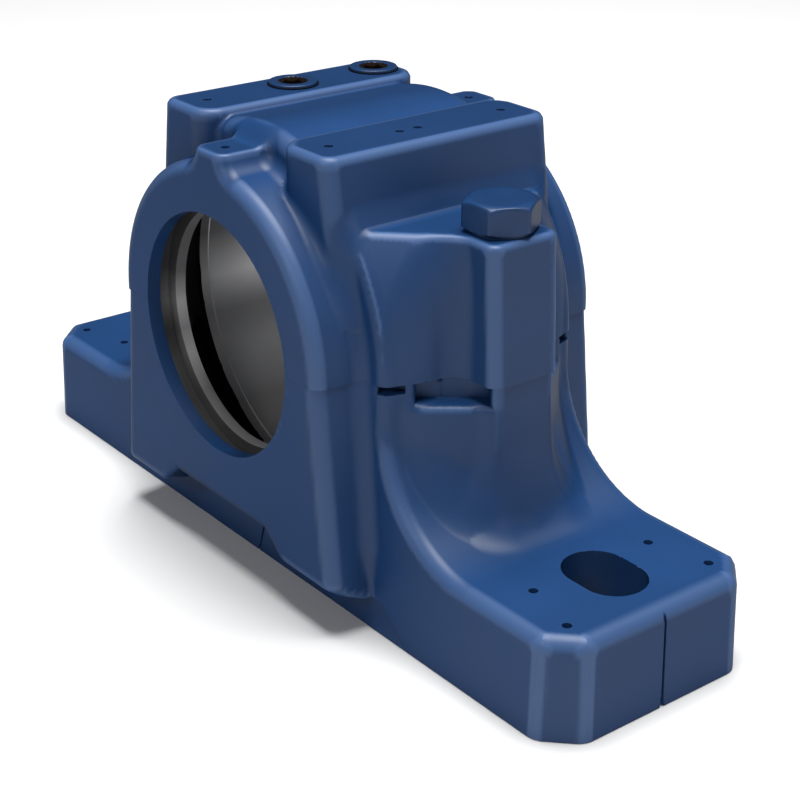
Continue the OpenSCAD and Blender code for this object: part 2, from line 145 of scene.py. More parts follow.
# Base casting
# The lower half of the housing is one iron casting with two slotted feet. It was cast in a sand
# mould, so its sides lean, its edges are round and its inner corners are hollow. The joint, the
# bearing seat, the grooves and the underside were turned or milled afterwards.


def grid_planes(low, high, step, fine=()):
    """Places of grid planes from low to high: the spacing is step, and a smaller one within reach of a
    fine detail. The sum of 1 / spacing along the axis is read back at whole numbers."""
    t = np.linspace(low, high, 30001)
    h = np.full(t.shape, float(step))
    for centre, reach, small in fine:
        h = np.minimum(h, np.maximum(small, small + (np.abs(t - centre) - reach) * 0.4))
    n = np.concatenate([[0], np.cumsum(np.diff(t) * 2 / (h[1:] + h[:-1]))])
    return np.interp(np.linspace(0, n[-1], int(math.ceil(n[-1])) + 1), n, t)


def join(a, b, r):
    """Two solids joined with a hollow rounding of radius r in the inner corner. a and b are distances,
    negative inside: the larger of r and the lesser distance, less the length of (r - a, r - b)."""
    return np.maximum(r, np.minimum(a, b)) - np.hypot(np.maximum(r - a, 0), np.maximum(r - b, 0))


def trim(a, b, r):
    """What two solids have in common, its outer edge rounded by r: the lesser of -r and the greater
    distance, plus the length of (r + a, r + b). A cut is a trim with the cutter's distance negated."""
    return np.minimum(-r, np.maximum(a, b)) + np.hypot(np.maximum(r + a, 0), np.maximum(r + b, 0))


def ramp(t):
    """0 up to t = 0, 1 from t = 1, and between them t squared times (3 - 2 t)."""
    t = np.clip(t, 0, 1)
    return t * t * (3 - 2 * t)


def slope(field, p, reach=0.03):
    """Unit direction in which a field grows fastest at points p, from its differences over a short reach."""
    g = np.empty_like(p)
    for axis in range(3):
        d = np.zeros(3)
        d[axis] = reach
        g[:, axis] = field(*(p + d).T) - field(*(p - d).T)
    return g / np.maximum(np.linalg.norm(g, axis=1, keepdims=True), 1e-12)


def crossed_edges(field, planes):
    """Where a surface crosses the grid. Each grid edge whose ends lie on either side of it gives one
    point, closed in on from both ends by the share f0 / (f0 - f1) of what is left, and the numbers of
    the four cells around it, in the order that makes their face point outwards."""
    grid = np.meshgrid(*planes, indexing="ij", sparse=True)
    values = np.broadcast_to(field(*grid), [len(t) for t in planes])
    inside = values < 0
    cells = [len(t) - 1 for t in planes]
    points, rings = [], []
    for axis in range(3):
        b, c = (axis + 1) % 3, (axis + 2) % 3
        lower = [slice(None)] * 3
        upper = [slice(None)] * 3
        lower[axis], upper[axis] = slice(0, -1), slice(1, None)
        near = np.argwhere(inside[tuple(lower)] != inside[tuple(upper)])
        far = near.copy()
        far[:, axis] += 1
        start = np.stack([planes[i][near[:, i]] for i in range(3)], 1)
        end = np.stack([planes[i][far[:, i]] for i in range(3)], 1)
        f0 = values[tuple(near.T)]
        f1 = values[tuple(far.T)]
        outward = f0 < 0
        t0, t1 = np.zeros(len(f0)), np.ones(len(f0))
        for step in range(5):
            share = f0 / (f0 - f1)
            if step % 2:
                share = np.clip(share, 0.1, 0.9)
            t = t0 + (t1 - t0) * share
            ft = field(*(start + (end - start) * t[:, None]).T)
            same = (ft < 0) == (f0 < 0)
            t0, f0 = np.where(same, t, t0), np.where(same, ft, f0)
            t1, f1 = np.where(same, t1, t), np.where(same, f1, ft)
        t = t0 + (t1 - t0) * f0 / (f0 - f1 + 1e-30)
        points.append(start + (end - start) * t[:, None])

        ring = []
        for db, dc in ((-1, -1), (0, -1), (0, 0), (-1, 0)):
            cell = near.copy()
            cell[:, b] += db
            cell[:, c] += dc
            ring.append((cell[:, 0] * cells[1] + cell[:, 1]) * cells[2] + cell[:, 2])
        ring = np.stack(ring, 1)
        ring[~outward] = ring[~outward][:, ::-1]
        rings.append(ring)
    return np.concatenate(points), np.concatenate(rings)


def cell_corners(points, slopes, rings, planes):
    """One corner for each grid cell that the surface passes, and the four corner numbers of each face.
    The corner is the point nearest to the tangent planes of the cell's own points, so that sharp edges
    stay sharp: for points p with slopes s and middle m, it is m + d, where the sum of (s s + pull) d is
    the sum of s (s . (p - m))."""
    pull = 0.02
    used, faces = np.unique(rings.ravel(), return_inverse=True)
    faces = faces.reshape(-1, 4)
    n = len(used)
    flat = faces.ravel()
    p4 = np.repeat(points, 4, 0)
    s4 = np.repeat(slopes, 4, 0)
    count = np.bincount(flat, minlength=n).astype(float)
    middle = np.stack([np.bincount(flat, p4[:, i], n) for i in range(3)], 1) / count[:, None]
    off = np.einsum("ij,ij->i", s4, p4 - middle[flat])
    towards = np.stack([np.bincount(flat, s4[:, i] * off, n) for i in range(3)], 1)
    square = np.empty((n, 3, 3))
    for i in range(3):
        for j in range(3):
            square[:, i, j] = np.bincount(flat, s4[:, i] * s4[:, j], n)
    square += np.eye(3) * (pull * count)[:, None, None]
    vertices = middle + np.linalg.solve(square, towards[:, :, None])[:, :, 0]
    cells = [len(t) - 1 for t in planes]
    cell = np.stack([used // (cells[1] * cells[2]), used // cells[2] % cells[1], used % cells[2]], 1)
    low = np.stack([planes[i][cell[:, i]] for i in range(3)], 1)
    high = np.stack([planes[i][cell[:, i] + 1] for i in range(3)], 1)
    return np.clip(vertices, low, high), faces


def rounded_edges(pattern, vertices):
    """1 where a casting bends outwards with a radius under 3.5 mm, falling to 0 at 6 mm, and 0 where it
    is flat, hollow or machined away. The bend is the sum of its pattern's field at six places one step
    away, less six times the field itself, over the step squared."""
    step, skin = 1.5, 0.15
    near = pattern(*vertices.T)
    bend = -6 * near
    for offset in np.concatenate([np.eye(3), -np.eye(3)]) * step:
        bend += pattern(*(vertices + offset).T)
    return np.where(np.abs(near) < skin, np.clip((bend / step ** 2 - 0.16) * 8, 0, 1), 0)


def cast_surface(name, field, planes, finish, materials, pattern=None):
    """The surface where a field of distances is zero, as a mesh of four-sided faces in metres: one face
    between the four cells around each crossed grid edge. A face's corner is shaded by the field's slope
    there, or a little inside the face where that turns by more than 14 degrees. finish gives the
    material's number from a face's middle. The mark called edge comes from the pattern, which is the
    field before any machining."""
    points, rings = crossed_edges(field, planes)
    vertices, faces = cell_corners(points, slope(field, points), rings, planes)
    flat = faces.ravel()
    centres = vertices[faces].mean(1)
    beside = (vertices[faces] * 0.75 + centres[:, None] * 0.25).reshape(-1, 3)
    side_normals = slope(field, beside)
    own_normals = slope(field, vertices)[flat]
    smooth = np.einsum("ij,ij->i", side_normals, own_normals) > math.cos(math.radians(14))
    normals = np.where(smooth[:, None], own_normals, side_normals)

    mesh = bpy.data.meshes.new(name)
    mesh.vertices.add(len(vertices))
    mesh.vertices.foreach_set("co", (vertices / 1000).astype(np.float32).ravel())
    mesh.loops.add(len(flat))
    mesh.loops.foreach_set("vertex_index", flat.astype(np.int32))
    mesh.polygons.add(len(faces))
    mesh.polygons.foreach_set("loop_start", np.arange(0, len(flat), 4, dtype=np.int32))
    mesh.polygons.foreach_set("material_index", finish(*centres.T).astype(np.int32))
    mesh.update(calc_edges=True)
    mesh.polygons.foreach_set("use_smooth", np.ones(len(faces), bool))
    mesh.normals_split_custom_set(normals)
    if pattern:
        edge = rounded_edges(pattern, vertices).astype(np.float32)
        mesh.attributes.new("edge", "FLOAT", "POINT").data.foreach_set("value", edge)
    for material in materials:
        mesh.materials.append(material)
    piece = bpy.data.objects.new(name, mesh)
    bpy.context.scene.collection.objects.link(piece)
    return piece


# Sizes are in millimetres. Both castings are mirrored over X and over Y, apart from what the pads
# carry. The last number of a join or trim is the radius of that rounding, and diagonal is the cosine
# of 45 degrees.
base_l, base_w, foot_h, shaft_z = 255.0, 70.0, 28.0, 70.0
lean = math.tan(math.radians(2))
lean_cos = math.cos(math.radians(2))
diagonal = 0.7071

flank_turn, flank_end, turn_r, column_r = 59.4, 31.3, 7.0, 3.5


def flank_plan(x, y, reach, column_x, column_half, hollow):
    """Plan of one flank with its bolt column: a wall at 45 degrees whose x + y is reach, rounded into a
    face across the foot and ended beside the collar, with the column's rounded oblong joined to it."""
    wall = np.maximum(trim((x + y - reach) * diagonal, x - flank_turn, turn_r), y - flank_end)
    column = trim(x - column_x, y - column_half, column_r)
    return join(wall, column, hollow)


opening_r, groove_r, groove_y, groove_half = 34.0, 38.0, 40.9, 2.5
seat_r, seat_half, seat_line_y = 50.0, 20.0, 17.2
chamber_r, chamber_end = 52.5, 35.0


def bore_hollow(x, y, z):
    """Distance to the hollow inside the housing, negative in it: the shaft openings, the seal grooves
    and the chamber with its slanted ends, less the ring of the bearing seat with its two fine lines."""
    rho = np.hypot(x, z - shaft_z)
    slant = ((rho - groove_r) * 11.5 + (y - chamber_end) * 14.5) / 18.5
    chamber = np.maximum(np.maximum(rho - chamber_r, y - chamber_end), slant)
    fine_line = (y - seat_line_y) * 0.12 + seat_r - rho
    seat = np.maximum(np.maximum(seat_r - rho, y - seat_half), fine_line)
    groove = np.maximum(rho - groove_r, np.abs(y - groove_y) - groove_half)
    return np.minimum(np.minimum(rho - opening_r, groove), np.maximum(chamber, -seat))


sump_r, sump_top, sump_y = 55.5, 53.0, 20.5


def sump_hollow(x, y, z):
    """Distance to the grease sumps in the base, negative in them: a wider chamber with a slanted end on
    either side of the seat, below a level line."""
    rho = np.hypot(x, z - shaft_z)
    slant = ((rho - groove_r) * 11.5 + (y - chamber_end) * 17.5) / 20.9
    sump = np.maximum(np.maximum(rho - sump_r, slant), y - chamber_end)
    return np.maximum(np.maximum(sump, z - sump_top), sump_y - y)


foot_corner, foot_corner_r, foot_edge_r = 153.5, 1.6, 4.0
sweep_r, sweep_x, sweep_z = 33.5, 89.8, 61.5
half_body, collar_side, collar_flare, collar_edge_r = 47.5, 47.1, math.tan(math.radians(6.3)), 4.5
under_z, under_rise = 8.3, 0.48
arch_z, arch_half, arch_flare = 21.2, 22.5, 1.15
flank_reach, column_x, column_half, flank_low = 86.55, 73.5, 10.9, 20.0
# Across is the direction that the filled face and the rebate look in, seen in plan.
across_x, across_y = 0.791, 0.612
fill_reach, fill_side, fill_end, fill_top = 61.8, 72.6, 29.0, 64.5


def base_pattern(x, y, z):
    """Distance to the base as cast, built up as it would be from wooden patterns: the slab and body
    under one concave sweep, the collars over their arch, then the flanks with the bolt columns. Each
    flank is filled out to a nearly upright face between column and collar, and the hollow between the
    flank and the sweep grows rounder toward the foot and sharper toward the collar."""
    x, y = np.abs(x), np.abs(y)
    side = (y - base_w / 2 + z * lean) * lean_cos
    end = (x - base_l / 2 + z * lean) * lean_cos
    corner = (x + y - foot_corner) * diagonal + z * lean
    plan = trim(trim(end, corner, foot_corner_r), side, foot_corner_r)
    arc = np.where(z >= sweep_z, x - sweep_x + sweep_r, sweep_r - np.hypot(x - sweep_x, z - sweep_z))
    body = trim(np.where(x >= sweep_x, z - foot_h, arc), plan, foot_edge_r)

    collar_wall = (x - collar_side - (shaft_z - z) * collar_flare) * 0.994
    under = (under_z + (y - chamber_end) * under_rise - z) * 0.9
    arch = np.maximum((z - arch_z) * 0.9, x - arch_half - (arch_z - z) * arch_flare)
    collar = trim(trim(trim(collar_wall, y - half_body, collar_edge_r), under, 1.2), -arch, 1.0)
    casting = join(body, collar, 0.6 + 4.0 * np.clip((z - 10.0) / 14.0, 0, 1))

    foot = ramp((68.0 - z) / 30.0)
    flank = flank_plan(x, y, flank_reach, column_x + foot, column_half + foot * 0.6, 7.0)
    front = x * across_x + y * across_y - fill_reach - np.clip(fill_top - z, 0, 45) * 0.07
    fill = trim(trim(front, x - fill_side - foot, 3.0), y - fill_end, 6.0)
    fill = trim(fill, z - fill_top, 1.8)
    flank = np.maximum(join(flank, fill, 2.0 + 6.0 * ramp((54.0 - z) / 18.0)), flank_low - z)
    roundness = ramp(np.maximum((32.0 - y) / 14.0, 0.18)) - 0.04
    return join(casting, flank, 0.8 + 11.2 * foot * roundness)


rebate_x, rebate_y, rebate_half, rebate_deep, rebate_lip_r = 64.9, 17.1, 9.5, 5.2, 1.5
strip_h, strip_slope, strip_end = 9.5, 0.2768, 69.0
pry_middle, pry_half, pry_reach, pry_z = 26.0, 3.3, 80.6, 67.6
slot_x, slot_half, slot_r = 105.0, 3.0, 9.0
foot_dimples, foot_dimple_r, foot_dimple_deep = ((100.5, 20.0), (117.5, 24.5)), 1.25, 1.6
bolt_x, tapped_r, tapped_z = 62.0, 6.1, 45.3
pin_x, pin_y, pin_hole_r, pin_hole_z = 55.5, 14.0, 2.55, 60.0


def base_field(x, y, z):
    """Distance to the finished base: the casting less the rebate below each flank of the cap, the
    set-back strip low on the sides, the pry slots, all above the joint, the hollow inside, the foot
    slots, the dimples, the fine lines that the mould left on the ends and sides, and the holes of the
    bolts and pins."""
    x, y = np.abs(x), np.abs(y)
    casting = base_pattern(x, y, z)
    along = (x - rebate_x) * across_y - (y - rebate_y) * across_x
    across = (x - rebate_x) * across_x + (y - rebate_y) * across_y
    rebate = np.maximum(np.maximum(np.abs(along) - rebate_half, -rebate_deep - across), fill_top - z)
    casting = trim(casting, -rebate, rebate_lip_r)
    strip_side = (base_w / 2 - z * strip_slope - y) * 0.9637
    strip = np.maximum(np.maximum(z - strip_h, strip_side), x - strip_end + z * 1.2)
    pry_side = np.abs(x - y - pry_middle) * diagonal - pry_half
    pry = np.maximum(np.maximum(pry_side, pry_reach - x - y), pry_z - z)
    slot = np.hypot(np.maximum(np.abs(x - slot_x) - slot_half, 0), y) - slot_r
    end_line = np.maximum(y - 0.4, np.maximum(base_l / 2 - 0.8 - z * lean - x, z - foot_h + 1.4))
    side_line = np.maximum(x - 0.4, np.maximum(base_w / 2 - 1.0 - z * strip_slope - y, z - strip_h - 0.1))
    bolt_hole = np.maximum(np.hypot(x - bolt_x, y) - tapped_r, tapped_z - z)
    pin_hole = np.maximum(np.hypot(x - pin_x, y - pin_y) - pin_hole_r, pin_hole_z - z)
    for cut in (strip, pry, shaft_z - z, bore_hollow(x, y, z), sump_hollow(x, y, z), slot, end_line,
                side_line, bolt_hole, pin_hole):
        casting = np.maximum(casting, -cut)
    for dimple_x, dimple_y in foot_dimples:
        r = np.hypot(x - dimple_x, y - dimple_y)
        dimple = np.maximum(r - foot_dimple_r, foot_h - foot_dimple_deep - z)
        casting = np.maximum(casting, -dimple)
    return np.maximum(casting, -z)


def casting_finish(x, y, z):
    """0 where a casting is painted, 1 where it was turned, 2 in the rough chambers beside the seat, which
    take a near-black painted shade, and 3 where it was milled: the joint and the underside."""
    x, y = np.abs(x), np.abs(y)
    rho = np.hypot(x, z - shaft_z)
    hollow = np.minimum(bore_hollow(x, y, z), sump_hollow(x, y, z))
    kind = ((hollow < 0.9) & (y < groove_y + groove_half - 0.05)).astype(int)
    kind[(kind == 1) & (rho > opening_r + 0.5) & (y > seat_half - 0.1) & (y < chamber_end + 0.1)] = 2
    kind[(z < 0.01) | ((np.abs(z - shaft_z) < 0.01) & (rho > opening_r + 0.1))] = 3
    return kind


def edge_on_shade_and_sheen(tree, colour):
    """The coat's colour and sheen as the surface turns edge-on to the eye: a colour darkened to 0.62 of
    itself as painted shade, and a shine that dies down. colour is the (node, output) of the coat seen
    straight."""
    edge_on = add_node(tree, "ShaderNodeLayerWeight", {"Blend": 0.5})
    edge_on_painted_shade = add_node(tree, "ShaderNodeMapRange",
                      {"From Min": 0.58, "From Max": 0.78, "To Min": 1.0, "To Max": 0.62},
                      Value=(edge_on, "Facing"))
    coat = add_node(tree, "ShaderNodeVectorMath", {"operation": "SCALE"}, Vector=colour,
                    Scale=(edge_on_painted_shade, "Result"))
    sheen = add_node(tree, "ShaderNodeMapRange",
                     {"From Min": 0.25, "From Max": 0.5, "To Min": 0.34, "To Max": 0.06},
                     Value=(edge_on, "Facing"))
    return coat, sheen


# Grey iron under one coat of satin machine enamel, sprayed on. The coat is an even dark blue. Where it is
# seen edge-on its colour is darkened as painted shade and its shine dies down, and on the rounded edges
# its colour is paled as a painted highlight. Its gloss is broken by the low grain of the sand-cast skin,
# 0.8 mm across and a few hundredths deep, and by a slow swell 11 mm across. Each pattern's Scale is 1
# over twice its grain.
sand_grain, coat_swell = 0.0008, 0.011
satin_enamel, tree = new_material("satin_enamel_on_cast_iron")
where = add_node(tree, "ShaderNodeTexCoord")
grain = add_node(tree, "ShaderNodeTexNoise",
                 {"Scale": 1 / (2 * sand_grain), "Detail": 3.0, "Roughness": 0.55}, Vector=(where, "Object"))
swell = add_node(tree, "ShaderNodeTexNoise", {"Scale": 1 / (2 * coat_swell), "Detail": 2.0},
                 Vector=(where, "Object"))
tone = add_node(tree, "ShaderNodeValToRGB", Fac=(swell, "Fac"))
tone.color_ramp.elements[0].position = 0.3
tone.color_ramp.elements[0].color = from_hex("#18365e")
tone.color_ramp.elements[1].position = 0.7
tone.color_ramp.elements[1].color = from_hex("#1a3964")
gloss = add_node(tree, "ShaderNodeMapRange", {"To Min": 0.42, "To Max": 0.52}, Value=(swell, "Fac"))
skin = add_node(tree, "ShaderNodeBump", {"Strength": 0.25, "Distance": 0.00004}, Height=(grain, "Fac"))
# The mark called edge pales the coat on rounded edges towards #4d6894: a painted highlight.
edges = add_node(tree, "ShaderNodeAttribute", {"attribute_name": "edge"})
edge_highlight_share = add_node(tree, "ShaderNodeMapRange", {"To Min": 0.0, "To Max": 0.5}, Value=(edges, "Fac"))
painted_edge_highlight = add_node(tree, "ShaderNodeMix", {"data_type": "RGBA", "s7": from_hex("#4d6894")},
                s0=(edge_highlight_share, "Result"), s6=(tone, "Color"))
coat, sheen = edge_on_shade_and_sheen(tree, (painted_edge_highlight, "s2"))
shader = add_node(tree, "ShaderNodeBsdfPrincipled", Base_Color=(coat, "Vector"), Roughness=(gloss, "Result"),
                  Specular_IOR_Level=(sheen, "Result"), Normal=(skin, "Normal"))
add_node(tree, "ShaderNodeOutputMaterial", Surface=(shader, "BSDF"))

# Bare grey iron, turned on a lathe about the shaft axis, with faint rings 0.2 mm wide and one fine
# line cut near each end of the seat, coloured white along it as a painted highlight. Its colour carries
# painted streaks of light along the bore, grey at its top and brightest a little below its sides, and
# the seal grooves are darkened as painted shade.
ring_width = 0.0002
turned_iron, tree = new_material("turned_grey_iron")
where = add_node(tree, "ShaderNodeTexCoord")
stretch = add_node(tree, "ShaderNodeMapping", {"Scale": (8.0, 1 / (2 * ring_width), 8.0)},
                   Vector=(where, "Object"))
rings = add_node(tree, "ShaderNodeTexNoise", {"Scale": 1.0, "Detail": 2.0}, Vector=(stretch, "Vector"))
shine = add_node(tree, "ShaderNodeMapRange", {"To Min": 0.34, "To Max": 0.42}, Value=(rings, "Fac"))
parts = add_node(tree, "ShaderNodeSeparateXYZ", Vector=(where, "Object"))
aside = add_node(tree, "ShaderNodeMath", {"operation": "ABSOLUTE"}, s0=(parts, "Y"))
# A white, non-metallic band at each fine line of the seat: a painted highlight.
painted_line_highlight = add_node(tree, "ShaderNodeMath", {"operation": "COMPARE", "s1": seat_line_y / 1000, "s2": 0.0002},
                s0=(aside, "Value"))
above = add_node(tree, "ShaderNodeMath", {"operation": "SUBTRACT", "s1": shaft_z / 1000}, s0=(parts, "Z"))
turn = add_node(tree, "ShaderNodeMath", {"operation": "ARCTAN2"}, s0=(parts, "X"), s1=(above, "Value"))
from_top = add_node(tree, "ShaderNodeMath", {"operation": "ABSOLUTE"}, s0=(turn, "Value"))
share = add_node(tree, "ShaderNodeMath", {"operation": "DIVIDE", "s1": math.pi}, s0=(from_top, "Value"))
# Painted streaks of light, set by the angle round the shaft from the top.
painted_streak_highlights = add_node(tree, "ShaderNodeValToRGB", Fac=(share, "Value"))
for stop, colour in ((0.3, "#858586"), (0.44, "#98989a"), (0.53, "#ffffff"), (0.6, "#d2d2d3"),
                     (0.67, "#ffffff"), (0.78, "#b9b9ba")):
    painted_streak_highlights.color_ramp.elements.new(stop).color = from_hex(colour)
painted_streak_highlights.color_ramp.elements[0].color = from_hex("#858586")
painted_streak_highlights.color_ramp.elements[-1].color = from_hex("#aaaaab")
tone = add_node(tree, "ShaderNodeMix", {"data_type": "RGBA", "s7": from_hex("#ffffff")},
                s0=(painted_line_highlight, "Value"), s6=(painted_streak_highlights, "Color"))
# The seal grooves darkened to 0.3 of the tone: painted shade.
groove = add_node(tree, "ShaderNodeMath", {"operation": "COMPARE", "s1": groove_y / 1000, "s2": 0.0026},
                  s0=(aside, "Value"))
groove_painted_shade = add_node(tree, "ShaderNodeMapRange", {"To Min": 1.0, "To Max": 0.3}, Value=(groove, "Value"))
tone = add_node(tree, "ShaderNodeVectorMath", {"operation": "SCALE"}, Vector=(tone, "s2"),
                Scale=(groove_painted_shade, "Result"))
metal = add_node(tree, "ShaderNodeMapRange", {"To Min": 0.55, "To Max": 0.0}, Value=(painted_line_highlight, "Value"))
shader = add_node(tree, "ShaderNodeBsdfPrincipled", Base_Color=(tone, "Vector"), Metallic=(metal, "Result"),
                  Roughness=(shine, "Result"))
add_node(tree, "ShaderNodeOutputMaterial", Surface=(shader, "BSDF"))

# The chambers' walls beside the seat, left as cast: a dull near-black that is painted shade, with faint
# patches 1.5 mm across.
chamber_patch = 0.0015
chamber_painted_shade, tree = new_material("rough_iron_painted_shade")
where = add_node(tree, "ShaderNodeTexCoord")
patch = add_node(tree, "ShaderNodeTexNoise", {"Scale": 1 / (2 * chamber_patch), "Detail": 3.0},
                 Vector=(where, "Object"))
tone = add_node(tree, "ShaderNodeValToRGB", Fac=(patch, "Fac"))
tone.color_ramp.elements[0].color = from_hex("#1d1d1e")
tone.color_ramp.elements[1].color = from_hex("#2c2b2b")
shader = add_node(tree, "ShaderNodeBsdfPrincipled", {"Roughness": 0.6, "Specular IOR Level": 0.2},
                  Base_Color=(tone, "Color"))
add_node(tree, "ShaderNodeOutputMaterial", Surface=(shader, "BSDF"))

# Milled grey iron on the joint and the underside: dull silver, with cutter marks 0.5 mm wide.
cutter_mark = 0.0005
milled_iron, tree = new_material("milled_grey_iron")
where = add_node(tree, "ShaderNodeTexCoord")
stretch = add_node(tree, "ShaderNodeMapping", {"Scale": (1 / (2 * cutter_mark), 30.0, 30.0)},
                   Vector=(where, "Object"))
marks = add_node(tree, "ShaderNodeTexNoise", {"Scale": 1.0, "Detail": 2.0}, Vector=(stretch, "Vector"))
shine = add_node(tree, "ShaderNodeMapRange", {"To Min": 0.35, "To Max": 0.5}, Value=(marks, "Fac"))
shader = add_node(tree, "ShaderNodeBsdfPrincipled", {"Base Color": from_hex("#a9abae"), "Metallic": 1.0},
                  Roughness=(shine, "Result"))
add_node(tree, "ShaderNodeOutputMaterial", Surface=(shader, "BSDF"))

casting_materials = [satin_enamel, turned_iron, chamber_painted_shade, milled_iron]
# The grid is finer across the foot dimples and the mould's lines: place, reach and spacing of each.
fine_x = [(s * px, 1.8, 0.45) for s in (-1, 1) for px, py in foot_dimples] + [(0, 0.8, 0.25)]
fine_y = [(s * py, 1.8, 0.45) for s in (-1, 1) for px, py in foot_dimples] + [(0, 0.8, 0.25)]
base = cast_surface("base_casting", base_field,
                    (grid_planes(-129.3, 129.4, 1.4, fine_x), grid_planes(-49.2, 49.3, 1.34, fine_y),
                     grid_planes(-1.7, 71.4, 1.27)), casting_finish, casting_materials, base_pattern)
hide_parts("base")
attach(base, "root")


# Cap casting
# The upper half is a second iron casting: a short drum between two narrower collars, with two flat
# pads for measuring tools on top, a small boss on each collar, and a column at each end that the cap
# bolt goes through. It was turned together with the base, so that the bore runs true.

drum_r, drum_half, cap_collar_r, ledge_z = 56.3, 32.55, 47.6, 107.3
cap_column_low, cap_column_half = 74.0, 11.3
boss_half, boss_z, boss_foot_z = 6.6, 121.4, 100.0
pad_in, pad_out, pad_half, pad_z, pad_foot_z = 17.0, 38.5, 37.0, 126.0, 86.0


def cap_pattern(x, y, z):
    """Distance to the cap as cast: the drum and the flanks with their columns under a level ledge, the
    collars with their bosses, and the pads. The flank's wall follows the drum's rim: its x + y falls
    with the height as the drum's half width does, which is the root of its radius squared less the
    height squared."""
    x, y = np.abs(x), np.abs(y)
    height = z - shaft_z
    rho = np.hypot(x, height)
    crown_edge_r = 3.5 + 1.3 * np.clip((z - 110.0) / 8.0, 0, 1)
    drum = trim(rho - drum_r, y - drum_half + height * 0.004, crown_edge_r)
    boss = np.maximum(x - boss_half, boss_foot_z - z)
    collar = trim(trim(join(rho - cap_collar_r, boss, 4.5), y - half_body, 4.0), z - boss_z, 0.9)

    reach = 30.45 - height * 0.007 + np.sqrt(np.maximum(drum_r ** 2 - height ** 2, 1.0))
    cap_column_x = cap_column_low - 1.8 * height / (ledge_z - shaft_z)
    flank = trim(flank_plan(x, y, reach, cap_column_x, cap_column_half, 7.0), z - ledge_z, 1.4)
    casting = join(join(drum, flank, 0.7), collar, 4.0)

    out = (x - pad_out - (pad_z - z) * 0.144) * 0.99
    pad = trim(trim(pad_in - x, y - pad_half, 7.0), out, 4.5)
    pad = np.maximum(trim(pad, z - pad_z, 2.0), pad_foot_z - z)
    return join(casting, pad, 1.5 + 2.0 * np.clip((x - 22.0) / 12.0, 0, 1))


bolt_hole_r, cap_pin_hole_z = 6.75, 80.0
plug_x, plug_ys = -28.3, (0.0, 28.5)
plug_hole_r, plug_hole_z, grease_r = 4.95, 116.0, 2.5
gauge_x, gauge_y, boss_dimple_y, cap_dimple_r, cap_dimple_deep = 28.3, 28.5, 41.2, 1.2, 1.5
cap_dimples = [(gauge_x, gauge_y, pad_z), (gauge_x, -gauge_y, pad_z), (-gauge_x, -gauge_y, pad_z),
               (gauge_x, 0.0, pad_z), (gauge_x, -6.0, pad_z), (0.0, boss_dimple_y, boss_z),
               (0.0, -boss_dimple_y, boss_z)]


def cap_field(x, y, z):
    """Distance to the finished cap: the casting less the hollow inside, the holes of the bolts, pins and
    plugs with the grease channels below the plugs, and the dimples."""
    casting = cap_pattern(x, y, z)
    half_x, half_y = np.abs(x), np.abs(y)
    casting = np.maximum(casting, -bore_hollow(half_x, half_y, z))
    casting = np.maximum(casting, bolt_hole_r - np.hypot(half_x - bolt_x, half_y))
    pin_hole = np.maximum(np.hypot(half_x - pin_x, half_y - pin_y) - pin_hole_r, z - cap_pin_hole_z)
    casting = np.maximum(casting, -pin_hole)
    for py in plug_ys:
        r = np.hypot(x - plug_x, y - py)
        plug_hole = np.minimum(np.maximum(r - plug_hole_r, plug_hole_z - z), r - grease_r)
        casting = np.maximum(casting, -plug_hole)
    for px, py, pz in cap_dimples:
        dimple = np.maximum(np.hypot(x - px, y - py) - cap_dimple_r, pz - cap_dimple_deep - z)
        casting = np.maximum(casting, -dimple)
    return np.maximum(casting, shaft_z - z)


# The grid is finer across the dimples: place, reach and spacing of each.
fine_x = [(v, 1.6, 0.4) for v in (-gauge_x, 0, gauge_x)]
fine_y = [(v, 1.6, 0.4) for v in (-boss_dimple_y, -gauge_y, -6.0, 0.0, gauge_y, boss_dimple_y)]
cap = cast_surface("cap_casting", cap_field,
                   (grid_planes(-75.6, 75.7, 1.05, fine_x), grid_planes(-49.0, 49.1, 1.05, fine_y),
                    grid_planes(68.6, 128.0, 1.02)), casting_finish, casting_materials, cap_pattern)
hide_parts("cap")
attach(cap, "root")


# Cap bolts
# Two hexagon-head bolts of steel, painted with the housing. A turned ring below each head stands on
# the cap's ledge and leaves a narrow dark gap all round, and a lathe cut rounds off the six corners.

head_half, head_h, head_low, head_turn = 9.0, 8.5, 1.0, math.radians(3)
head_top_r, head_low_r, head_reach = 8.6, 9.6, 11.3
head_ring_r, head_ring_h = 8.5, 2.0
shank_r, shank_end = 6.0, -60.0
cone_cos, cone_sin = 0.5, 0.866


def bolt_field(x, y, z):
    """Distance to one bolt with its axis on Z, standing on the ledge at 0: the hexagon trimmed by the
    lathe's cone above and below, joined to the ring and the plain shank."""
    r = np.hypot(x, y)
    a = np.arctan2(y, x) - head_turn
    a = np.mod(a, math.pi / 3) - math.pi / 6
    flats = trim(r * np.cos(a) - head_half, r * np.cos(math.pi / 3 - np.abs(a)) - head_half, 0.6)
    head = trim(flats, z - head_h, 0.4)
    head = trim(head, (r - head_top_r) * cone_cos + (z - head_h) * cone_sin, 0.5)
    low_cone = (r - head_low_r) * cone_cos + (head_low + 0.2 - z) * cone_sin
    head = np.maximum(head, np.maximum(head_low - z, low_cone))
    ring = np.maximum(np.maximum(r - head_ring_r, z - head_ring_h), -z)
    tip = (r - shank_r + 1.0 - (z - shank_end)) * diagonal
    shank = np.maximum(np.maximum(r - shank_r, z - head_low), np.maximum(shank_end - z, tip))
    return np.minimum(np.minimum(head, ring), shank)


